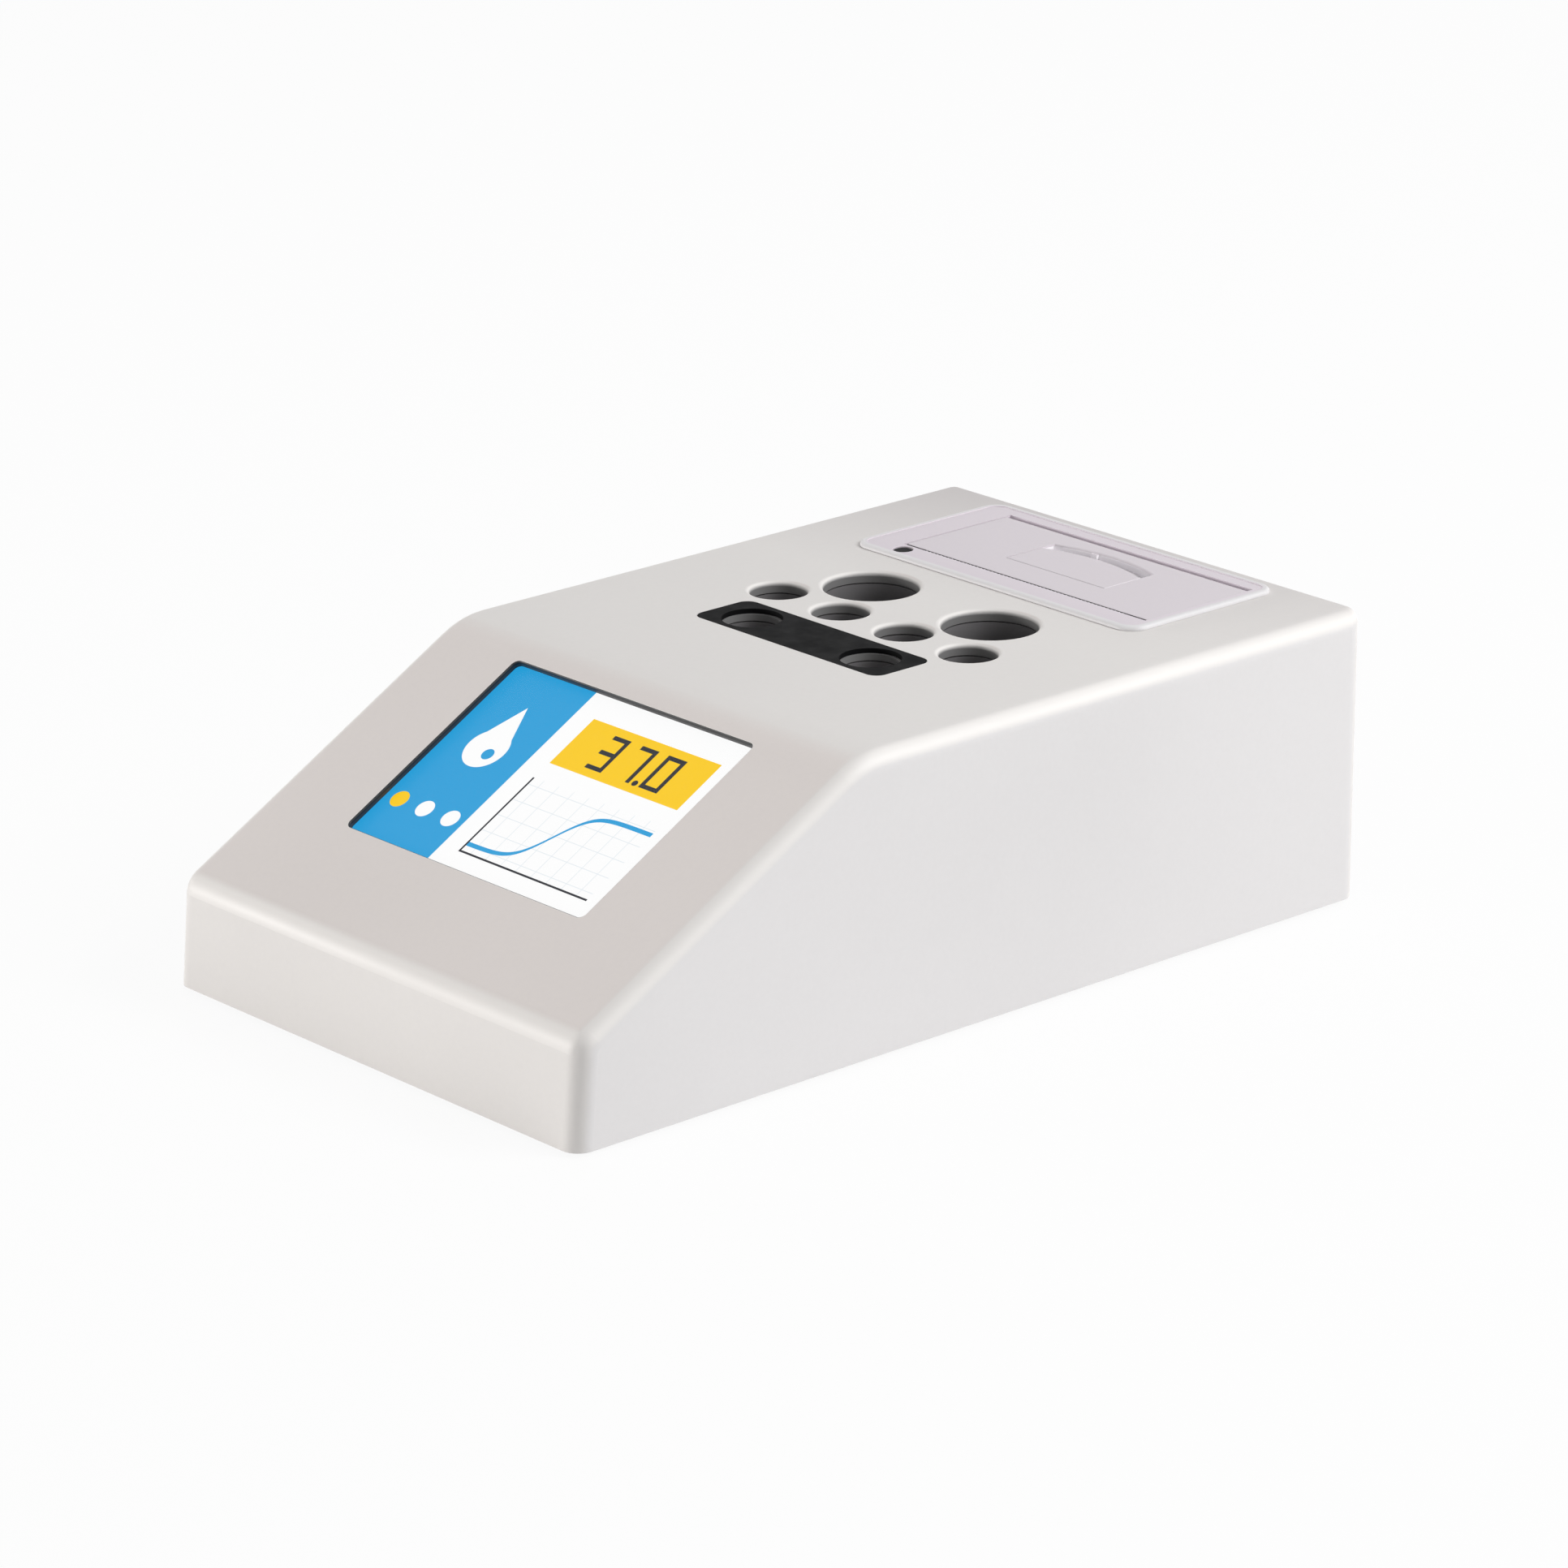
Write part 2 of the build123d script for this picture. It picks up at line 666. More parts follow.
# Top cover: one moulded shell with the window, the well openings and the screw bosses
with BuildPart() as top_cover:
    with BuildSketch(Plane.YZ.offset(-x_side)):
        with BuildLine():
            Polyline(*side_outline(0, z_base), close=True)
        make_face()
        round_bends(0, z_base)
    extrude(amount=body_width)
    rim = edges().filter_by(
        lambda edge: abs(abs(edge.center().X) - x_side) < tolerance and edge.center().Z > z_base + tolerance
    )
    fillet(rim, side_edge_radius)
    with BuildSketch(Plane.YZ.offset(cover_wall - x_side)):
        with BuildLine():
            Polyline(*side_outline(cover_wall, z_base - overrun), close=True)
        make_face()
        round_bends(cover_wall, z_base - overrun)
    extrude(amount=body_width - 2 * cover_wall, mode=Mode.SUBTRACT)
    # Screw bosses: four for the base plate, four behind the slope for the display board
    with BuildSketch(Plane.XY.offset(z_floor + seat_gap)):
        with Locations(*boss_places):
            Circle(boss_radius)
    extrude(amount=boss_height)
    with BuildSketch(window_plane.offset(-cover_wall / 2)):
        with GridLocations(2 * display_screw_x, 2 * display_screw_y, 2, 2):
            Circle(display_boss_radius)
    extrude(amount=cover_wall / 2 - board_front_depth)
    with BuildSketch(Plane.XY.offset(z_floor + seat_gap)):
        with Locations(*boss_places):
            Circle(screw_radius)
    extrude(amount=screw_pilot_depth, mode=Mode.SUBTRACT)
    with BuildSketch(window_plane.offset(-board_front_depth)):
        with GridLocations(2 * display_screw_x, 2 * display_screw_y, 2, 2):
            Circle(display_screw_radius)
    extrude(amount=display_screw_reach + seat_gap, mode=Mode.SUBTRACT)
    # Window with a rebate behind it
    with BuildSketch(window_plane.offset(overrun)):
        RectangleRounded(window_width, window_length, window_radius)
    extrude(amount=-(cover_wall + 2 * overrun), mode=Mode.SUBTRACT)
    with BuildSketch(window_plane.offset(-window_lip)):
        RectangleRounded(rebate_width, rebate_length, window_radius)
    extrude(amount=-(cover_wall + overrun), mode=Mode.SUBTRACT)
    # Well bores and the strip's recess
    with BuildSketch(Plane.XY.offset(z_top + overrun)):
        with Locations(*tube_places, *channel_places):
            Circle(tube_radius)
        with Locations(*vial_places):
            Circle(vial_radius)
    extrude(amount=-(cover_wall + 2 * overrun), mode=Mode.SUBTRACT)
    well_rims = edges().filter_by(GeomType.CIRCLE).filter_by(
        lambda edge: abs(edge.center().Z - z_top) < tolerance and edge.center().Y > strip_rear_y
    )
    fillet(well_rims, well_rim_radius)
    with BuildSketch(Plane.XY.offset(z_top - strip_thickness - seat_gap)):
        with Locations((0, channel_y)):
            RectangleRounded(strip_width + 2 * seat_gap, strip_depth + 2 * seat_gap, strip_radius)
    extrude(amount=strip_thickness + overrun, mode=Mode.SUBTRACT)
    # Printer cut-out
    with BuildSketch(Plane.XY.offset(z_top + overrun)):
        with Locations((0, bezel_y)):
            RectangleRounded(printer_width + 2 * slip_gap, printer_depth + 2 * slip_gap, printer_radius)
    extrude(amount=-(cover_wall + 2 * overrun), mode=Mode.SUBTRACT)
    # Opening in the rear wall for the connector panel, and its two screw holes
    with BuildSketch(Plane.XZ.offset(-(y_rear + overrun))):
        with Locations((0, rear_opening_z)):
            RectangleRounded(rear_opening_width, rear_opening_height, rear_opening_radius)
    extrude(amount=cover_wall + 2 * overrun, mode=Mode.SUBTRACT)
    with Locations(*rear_screw_frames):
        CounterSinkHole(
            radius=screw_radius + running_gap,
            counter_sink_radius=screw_head_radius,
            depth=cover_wall + overrun,
        )
    window_rims = edges().filter_by(on_window_rim)
    fillet(window_rims, window_edge_radius)
finish(top_cover, "top_cover")


def pan_screws(places, shank_radius, head_radius, head_height, reach, slot_radius):
    """Pan-head screws, one solid each: a place is under the head, and its Z points out of it."""
    with BuildPart() as screws:
        for frame in [Plane(place) for place in places]:
            with BuildSketch(frame):
                Circle(head_radius)
            extrude(amount=head_height)
            with BuildSketch(frame):
                Circle(shank_radius)
            extrude(amount=-reach)
            with BuildSketch(frame.offset(head_height - drive_slot_depth)):
                RegularPolygon(slot_radius, hex_sides)
            extrude(amount=drive_slot_depth + overrun, mode=Mode.SUBTRACT)
    return screws


# Base plate: a flat tray with foot pockets, vent slots and posts for the main board
with BuildPart() as base_plate:
    with BuildSketch(Plane.XY.offset(z_base)):
        with Locations((0, tray_y)):
            RectangleRounded(tray_width, tray_length, base_corner_radius)
    extrude(amount=base_thickness)
    with BuildSketch(Plane.XY.offset(z_floor)):
        with Locations(*board_post_places):
            Circle(board_post_radius)
    extrude(amount=board_post_height)
    with BuildSketch(Plane.XY.offset(board_under_z)):
        with Locations(*board_post_places):
            Circle(screw_radius)
    extrude(amount=-(board_post_height - seat_gap), mode=Mode.SUBTRACT)
    with BuildSketch(Plane.XY.offset(z_base - overrun)):
        with GridLocations(2 * foot_x, 2 * foot_y, 2, 2):
            Circle(foot_radius + seat_gap)
    extrude(amount=overrun + foot_inset + seat_gap, mode=Mode.SUBTRACT)
    with BuildSketch(Plane.XY.offset(z_base - overrun)):
        with Locations(*boss_places):
            Circle(screw_radius + seat_gap)
    extrude(amount=base_thickness + 2 * overrun, mode=Mode.SUBTRACT)
    with BuildSketch(Plane.XY.offset(z_base - overrun)):
        with Locations(*boss_places):
            Circle(screw_head_radius + slip_gap)
    extrude(amount=overrun + screw_head_height + seat_gap, mode=Mode.SUBTRACT)
    with BuildSketch(Plane.XY.offset(z_base - overrun)):
        for y, count in ((board_y, vent_count), (rear_vent_y, rear_vent_count)):
            with Locations((0, y)):
                with GridLocations(vent_length + vent_pitch, vent_pitch, 2, count):
                    SlotOverall(vent_length, vent_width)
    extrude(amount=base_thickness + 2 * overrun, mode=Mode.SUBTRACT)
finish(base_plate, "base_plate")

# Rubber feet pressed into the pockets
with BuildPart() as rubber_feet:
    with BuildSketch(Plane.XY):
        with GridLocations(2 * foot_x, 2 * foot_y, 2, 2):
            Circle(foot_radius)
    extrude(amount=foot_drop + foot_inset)
    chamfer(edges().group_by(Axis.Z)[0], foot_edge_radius)
finish(rubber_feet, "rubber_feet")

# Screws from below into the cover's bosses
cover_screws = pan_screws(
    [Location((x, y, z_base + screw_head_height), (180, 0, 0)) for x, y in boss_places],
    screw_radius - seat_gap,
    screw_head_radius,
    screw_head_height,
    screw_reach,
    drive_slot_radius,
)
finish(cover_screws, "cover_screws")

# Rear panel: sheet aluminium behind the opening in the cover's rear wall
with BuildPart() as rear_panel:
    with BuildSketch(Plane.XZ.offset(-panel_rear_y)):
        with Locations((0, (panel_bottom_z + panel_top_z) / 2)):
            Rectangle(rear_opening_width + 2 * panel_margin, panel_top_z - panel_bottom_z)
        with Locations((switch_x, rear_opening_z)):
            Rectangle(switch_width + 2 * seat_gap, switch_height + 2 * seat_gap, mode=Mode.SUBTRACT)
        with Locations((jack_x, connector_z)):
            Circle(jack_radius + seat_gap, mode=Mode.SUBTRACT)
        with Locations((port_x, connector_z)):
            Rectangle(port_width + 2 * seat_gap, port_height + 2 * seat_gap, mode=Mode.SUBTRACT)
        with Locations((-panel_screw_x, panel_screw_z), (panel_screw_x, panel_screw_z)):
            Circle(screw_radius + running_gap, mode=Mode.SUBTRACT)
        with Locations((panel_slot_x, z_base + panel_slot_rise)):
            with GridLocations(panel_slot_pitch, panel_slot_height, panel_slot_count, 1):
                SlotOverall(panel_slot_height, panel_slot_width, rotation=90, mode=Mode.SUBTRACT)
    extrude(amount=panel_thickness)
finish(rear_panel, "rear_panel")

# Countersunk screws that hold the rear panel
with BuildPart() as panel_screws:
    with Locations(*[frame * Location((0, 0, -seat_gap - panel_sink / 2)) for frame in rear_screw_frames]):
        Cone(screw_radius, screw_head_radius - seat_gap, panel_sink)
    with Locations(*[frame * Location((0, 0, -seat_gap - panel_screw_reach / 2)) for frame in rear_screw_frames]):
        Cylinder(screw_radius, panel_screw_reach)
    with Locations(*rear_screw_frames):
        Cylinder(drive_slot_radius, 2 * drive_slot_depth, mode=Mode.SUBTRACT)
finish(panel_screws, "panel_screws")

# Power inlet: a round jack with its centre pin
with BuildPart() as power_jack:
    with BuildSketch(Plane.XZ.offset(-panel_rear_y)):
        with Locations((jack_x, connector_z)):
            Circle(jack_radius)
    extrude(amount=jack_length)
    with BuildSketch(Plane.XZ.offset(-(panel_rear_y + seat_gap))):
        with Locations((jack_x, connector_z)):
            Circle(jack_flange_radius)
    extrude(amount=-jack_flange)
    with BuildSketch(Plane.XZ.offset(-panel_rear_y)):
        with Locations((jack_x, connector_z)):
            Circle(jack_radius)
    extrude(amount=-(jack_flange + seat_gap))
    chamfer(faces().sort_by(Axis.Y)[-1].outer_wire().edges(), foot_edge_radius)
    with BuildSketch(Plane.XZ.offset(-(panel_rear_y + seat_gap + jack_flange + overrun))):
        with Locations((jack_x, connector_z)):
            Circle(jack_bore_radius)
            Circle(jack_pin_radius, mode=Mode.SUBTRACT)
    extrude(amount=overrun + jack_bore_depth, mode=Mode.SUBTRACT)
finish(power_jack, "power_jack")

# Data port: a folded metal shell round a tongue
with BuildPart() as data_port:
    with BuildSketch(Plane.XZ.offset(-(panel_rear_y + jack_flange))):
        with Locations((port_x, connector_z)):
            RectangleRounded(port_width, port_height, port_wall)
    extrude(amount=port_length)
    with BuildSketch(Plane.XZ.offset(-(panel_rear_y + jack_flange + overrun))):
        with Locations((port_x, connector_z)):
            Rectangle(port_width - 2 * port_wall, port_height - 2 * port_wall)
        with Locations((port_x, connector_z + port_tongue_inset)):
            Rectangle(port_width - 2 * (port_wall + port_tongue_inset), port_tongue, mode=Mode.SUBTRACT)
    extrude(amount=overrun + jack_bore_depth, mode=Mode.SUBTRACT)
finish(data_port, "data_port")

# Rocker switch: the housing clips into the rear panel, the rocker tilts on a pin inside it
with BuildPart() as switch_housing:
    with BuildSketch(Plane.XZ.offset(-(panel_rear_y + seat_gap + switch_flange))):
        with Locations((switch_x, rear_opening_z)):
            RectangleRounded(switch_flange_width, switch_flange_height, switch_flange_radius)
    extrude(amount=switch_flange)
    chamfer(faces().sort_by(Axis.Y)[-1].outer_wire().edges(), foot_edge_radius)
    with BuildSketch(Plane.XZ.offset(-(panel_rear_y + seat_gap + switch_flange / 2))):
        with Locations((switch_x, rear_opening_z)):
            Rectangle(switch_width, switch_height)
    extrude(amount=switch_depth)
    with BuildSketch(Plane.XZ.offset(-(panel_rear_y + seat_gap + switch_flange + overrun))):
        with Locations((switch_x, rear_opening_z)):
            Rectangle(rocker_width + 2 * rocker_gap, rocker_height + 2 * rocker_gap)
    extrude(amount=switch_depth + overrun - rocker_floor, mode=Mode.SUBTRACT)
    with BuildSketch(Plane.YZ.offset(switch_x - switch_width / 2)):
        with Locations((rocker_pivot_y, rear_opening_z)):
            Circle(rocker_pivot_radius)
    extrude(amount=switch_width)
finish(switch_housing, "switch_housing")

with BuildPart() as switch_rocker:
    with BuildSketch(Plane.YZ.offset(switch_x - rocker_width / 2)):
        with BuildLine():
            Polyline(
                (rocker_pivot_y - rocker_back, rear_opening_z - rocker_height / 4),
                (rocker_face_y - rocker_notch, rear_opening_z - rocker_height / 2),
                (rocker_face_y + rocker_swell, rear_opening_z - rocker_height / 2),
                (rocker_face_y, rear_opening_z),
                (rocker_face_y + rocker_swell, rear_opening_z + rocker_height / 2),
                (rocker_face_y - rocker_notch, rear_opening_z + rocker_height / 2),
                (rocker_pivot_y - rocker_back, rear_opening_z + rocker_height / 4),
                close=True,
            )
        make_face()
        with Locations((rocker_pivot_y, rear_opening_z)):
            Circle(rocker_pivot_radius + running_gap, mode=Mode.SUBTRACT)
    extrude(amount=rocker_width)
    fillet(edges().filter_by(Axis.X).group_by(Axis.Y)[-1], foot_edge_radius)
switch_rocker.part = switch_rocker.part.rotate(
    Axis((switch_x, rocker_pivot_y, rear_opening_z), (1, 0, 0)), rocker_tilt
)
finish(switch_rocker, "switch_rocker")


# Display stack behind the window, from the outside in: frame, touch panel, LCD, board
with BuildPart() as display_frame:
    with BuildSketch(window_plane.offset(-frame_front_depth)):
        RectangleRounded(
            window_width + 2 * display_frame_margin, window_length + 2 * display_frame_margin, window_radius
        )
        RectangleRounded(window_width, window_length, window_radius, mode=Mode.SUBTRACT)
    extrude(amount=-display_frame_thickness)
finish(display_frame, "display_frame")

with BuildPart() as touch_panel:
    with BuildSketch(window_plane.offset(-touch_front_depth)):
        RectangleRounded(window_width + 2 * touch_margin, window_length + 2 * touch_margin, window_radius)
    extrude(amount=-touch_thickness)
finish(touch_panel, "touch_panel")

with BuildPart() as lcd_panel:
    with BuildSketch(window_plane.offset(-lcd_front_depth)):
        Rectangle(window_width + 2 * lcd_margin, window_length + 2 * lcd_margin)
    extrude(amount=-lcd_thickness)
finish(lcd_panel, "lcd_panel")

with BuildPart() as display_board:
    with BuildSketch(window_plane.offset(-board_front_depth)):
        Rectangle(display_board_width, display_board_length)
        with GridLocations(2 * display_screw_x, 2 * display_screw_y, 2, 2):
            Circle(display_screw_radius + seat_gap, mode=Mode.SUBTRACT)
    extrude(amount=-display_board_thickness)
    for x_share, y_share, width_share, length_share, height in display_chip_shares:
        with BuildSketch(window_plane.offset(-board_front_depth - display_board_thickness)):
            with Locations((x_share * display_board_width, y_share * display_board_length)):
                Rectangle(width_share * display_board_width, length_share * display_board_length)
        extrude(amount=-height)
finish(display_board, "display_board")

small_screws = pan_screws(
    [
        window_plane.offset(-board_front_depth - display_board_thickness).location
        * Location((side * display_screw_x, end * display_screw_y, 0), (180, 0, 0))
        for side in (-1, 1)
        for end in (-1, 1)
    ]
    + [
        Location((x, y, printer_bottom_z - printer_board_drop - printer_board_thickness), (180, 0, 0))
        for x, y in printer_post_places
    ],
    display_screw_radius - running_gap,
    display_screw_head_radius,
    display_screw_head,
    display_board_thickness + display_screw_reach - seat_gap,
    display_screw_radius,
)
finish(small_screws, "small_screws")

# Main board on its posts, with its chips and connectors, a buzzer and a backup cell
with BuildPart() as main_board:
    with BuildSketch(Plane.XY.offset(board_under_z + seat_gap)):
        with Locations((0, board_y)):
            RectangleRounded(board_width, board_length, screw_radius)
        with Locations(*board_post_places):
            Circle(screw_radius + seat_gap, mode=Mode.SUBTRACT)
    extrude(amount=board_thickness)
    for x_share, y_share, width_share, length_share, height in main_chip_shares:
        with BuildSketch(Plane.XY.offset(board_top_z)):
            with Locations((x_share * board_width, board_y + y_share * board_length)):
                Rectangle(width_share * board_width, length_share * board_length)
        extrude(amount=height)
finish(main_board, "main_board")

board_screws = pan_screws(
    [Location((x, y, board_top_z)) for x, y in board_post_places],
    screw_radius - seat_gap,
    screw_head_radius,
    screw_head_height,
    board_thickness + board_post_height - slip_gap,
    drive_slot_radius,
)
finish(board_screws, "board_screws")

with BuildPart() as buzzer:
    with BuildSketch(Plane.XY.offset(board_top_z + seat_gap)):
        with Locations(buzzer_place):
            Circle(buzzer_radius)
    extrude(amount=buzzer_height)
    with BuildSketch(Plane.XY.offset(board_top_z + seat_gap + buzzer_height)):
        with Locations(buzzer_place):
            Circle(gear_axle_radius)
    extrude(amount=-gear_axle_radius, mode=Mode.SUBTRACT)
finish(buzzer, "buzzer")

with BuildPart() as backup_cell:
    with BuildSketch(Plane.XY.offset(board_top_z + seat_gap)):
        with Locations(cell_place):
            Circle(cell_radius)
    extrude(amount=cell_height)
    chamfer(edges().group_by(Axis.Z)[-1], foot_edge_radius)
finish(backup_cell, "backup_cell")

# Flat ribbon from the display board down to the main board
with BuildPart() as display_ribbon:
    with BuildSketch(Plane.YZ.offset(-ribbon_width / 2)):
        with BuildLine():
            FilletPolyline(*ribbon_route, radius=ribbon_bend_radius)
            offset(amount=ribbon_thickness, side=Side.LEFT)
        make_face()
    extrude(amount=ribbon_width)
finish(display_ribbon, "display_ribbon")

# Heated aluminium block with the bored wells, on four standoffs
with BuildPart() as heated_block:
    with BuildSketch(Plane.XY.offset(block_bottom_z)):
        with Locations((0, (block_front_y + block_rear_y) / 2)):
            Rectangle(2 * block_half_width, block_rear_y - block_front_y)
        with Locations((0, (nose_front_y + block_front_y) / 2)):
            Rectangle(2 * nose_half_width, block_front_y - nose_front_y)
    extrude(amount=block_height)
    fillet(edges().filter_by(Axis.Z), block_edge_radius)
    with BuildSketch(Plane.XY.offset(block_top_z + overrun)):
        with Locations(*tube_places, *channel_places):
            Circle(tube_radius)
        with Locations(*vial_places):
            Circle(vial_radius)
    extrude(amount=-(overrun + well_depth), mode=Mode.SUBTRACT)
    # Light paths: lamps from the front, sensors from the sides
    with BuildSketch(Plane.XZ.offset(-nose_front_y + overrun)):
        with Locations(*[(x, optic_z) for x, y in channel_places]):
            Circle(led_radius + running_gap)
    extrude(amount=-(overrun + channel_y - nose_front_y), mode=Mode.SUBTRACT)
    for side in (-1, 1):
        with BuildSketch(Plane.YZ.offset(side * channel_pitch / 2)):
            with Locations((channel_y, optic_z)):
                Circle(led_radius + running_gap)
        extrude(amount=side * (nose_half_width - channel_pitch / 2 + overrun), mode=Mode.SUBTRACT)
    with BuildSketch(Plane.XZ.offset(-(block_rear_y + overrun))):
        with Locations((0, probe_z)):
            Circle(probe_radius + running_gap)
    extrude(amount=overrun + probe_depth, mode=Mode.SUBTRACT)
finish(heated_block, "heated_block")

with BuildPart() as block_standoffs:
    with BuildSketch(Plane.XY.offset(z_floor + seat_gap)):
        with Locations(*standoff_places):
            RegularPolygon(standoff_radius, hex_sides)
    extrude(amount=block_bottom_z - z_floor - 2 * seat_gap)
finish(block_standoffs, "block_standoffs")

with BuildPart() as heater_pad:
    with BuildSketch(Plane.XY.offset(block_bottom_z - seat_gap)):
        with Locations((0, (heater_front_y + heater_rear_y) / 2)):
            RectangleRounded(2 * heater_half_width, heater_rear_y - heater_front_y, block_edge_radius)
    extrude(amount=-heater_thickness)
finish(heater_pad, "heater_pad")

with BuildPart() as temperature_probe:
    with BuildSketch(Plane.XZ.offset(-(block_rear_y - probe_depth + seat_gap))):
        with Locations((0, probe_z)):
            Circle(probe_radius)
    extrude(amount=-(probe_depth + probe_tail))
finish(temperature_probe, "temperature_probe")

with BuildPart() as thermal_cutout:
    with BuildSketch(Plane.XZ.offset(-(block_rear_y + seat_gap))):
        with Locations((cutout_x, probe_z)):
            Circle(cutout_radius)
    extrude(amount=-cutout_thickness)
finish(thermal_cutout, "thermal_cutout")

# Lamps and sensors of the two measuring channels, each on its small board
with BuildPart() as channel_lamps:
    for x, y in channel_places:
        with BuildSketch(Plane.XZ.offset(-(nose_front_y - seat_gap))):
            with Locations((x, optic_z)):
                Circle(led_flange_radius)
        extrude(amount=led_flange)
        with BuildSketch(Plane.XZ.offset(-(nose_front_y - seat_gap))):
            with Locations((x, optic_z)):
                Circle(led_radius)
        extrude(amount=-(led_reach / 2))
finish(channel_lamps, "channel_lamps")

with BuildPart() as lamp_board:
    with BuildSketch(Plane.XZ.offset(-(nose_front_y - 2 * seat_gap - led_flange))):
        with Locations((0, optic_z)):
            Rectangle(channel_pitch + 2 * optic_board_margin, optic_board_height)
    extrude(amount=optic_board_thickness)
finish(lamp_board, "lamp_board")

with BuildPart() as channel_sensors:
    for side in (-1, 1):
        with BuildSketch(Plane.YZ.offset(side * (nose_half_width + seat_gap))):
            with Locations((channel_y, optic_z)):
                Circle(led_flange_radius)
        extrude(amount=side * led_flange)
        with BuildSketch(Plane.YZ.offset(side * (nose_half_width + seat_gap))):
            with Locations((channel_y, optic_z)):
                Circle(led_radius)
        extrude(amount=-side * led_reach / 2)
finish(channel_sensors, "channel_sensors")

with BuildPart() as sensor_boards:
    for side in (-1, 1):
        with BuildSketch(Plane.YZ.offset(side * (nose_half_width + 2 * seat_gap + led_flange))):
            with Locations((channel_y, optic_z)):
                Rectangle(optic_board_height, optic_board_height)
        extrude(amount=side * optic_board_thickness)
finish(sensor_boards, "sensor_boards")

# Stirrers under the measuring wells: a bridge, two motors, and a magnet disc on each shaft
with BuildPart() as stirrer_bracket:
    with BuildSketch(Plane.XZ.offset(-(channel_y - bracket_half_depth))):
        with BuildLine():
            Polyline(*bracket_outline, close=True)
        make_face()
    extrude(amount=-2 * bracket_half_depth)
    with BuildSketch(Plane.XY.offset(bracket_top_z)):
        with Locations(*channel_places):
            Circle(bracket_hole_radius)
    extrude(amount=-bracket_thickness, mode=Mode.SUBTRACT)
finish(stirrer_bracket, "stirrer_bracket")

with BuildPart() as stirrer_motors:
    with BuildSketch(Plane.XY.offset(bracket_top_z - bracket_thickness - seat_gap)):
        with Locations(*channel_places):
            Circle(stirrer_motor_radius)
    extrude(amount=-stirrer_motor_length)
    with BuildSketch(Plane.XY.offset(bracket_top_z - bracket_thickness - seat_gap)):
        with Locations(*channel_places):
            Circle(stirrer_shaft_radius + running_gap)
    extrude(amount=-stirrer_shaft_drop, mode=Mode.SUBTRACT)
finish(stirrer_motors, "stirrer_motors")

for side_name, (x, y) in zip(("left", "right"), channel_places):
    magnet_places = [(x - magnet_offset, y), (x + magnet_offset, y)]
    with BuildPart() as stirrer_disc:
        with BuildSketch(Plane.XY.offset(disc_bottom_z)):
            with Locations((x, y)):
                Circle(stirrer_disc_radius)
        extrude(amount=stirrer_disc_thickness)
        with BuildSketch(Plane.XY.offset(disc_bottom_z)):
            with Locations((x, y)):
                Circle(stirrer_shaft_radius)
        extrude(amount=-(disc_bottom_z - shaft_end_z))
        with BuildSketch(Plane.XY.offset(disc_bottom_z + stirrer_disc_thickness)):
            with Locations(*magnet_places):
                Circle(magnet_radius + running_gap)
        extrude(amount=-(magnet_height + running_gap), mode=Mode.SUBTRACT)
    finish(stirrer_disc, f"{side_name}_stirrer_disc")
    with BuildPart() as stirrer_magnets:
        with BuildSketch(Plane.XY.offset(disc_bottom_z + stirrer_disc_thickness)):
            with Locations(*magnet_places):
                Circle(magnet_radius)
        extrude(amount=-magnet_height)
    finish(stirrer_magnets, f"{side_name}_stirrer_magnets")

# Black measuring strip, flush in the cover over the two measuring wells
with BuildPart() as measuring_strip:
    with BuildSketch(Plane.XY.offset(z_top - strip_thickness)):
        with Locations((0, channel_y)):
            RectangleRounded(strip_width, strip_depth, strip_radius)
        with Locations(*channel_places):
            Circle(strip_hole_radius, mode=Mode.SUBTRACT)
    extrude(amount=strip_thickness)
finish(measuring_strip, "measuring_strip")

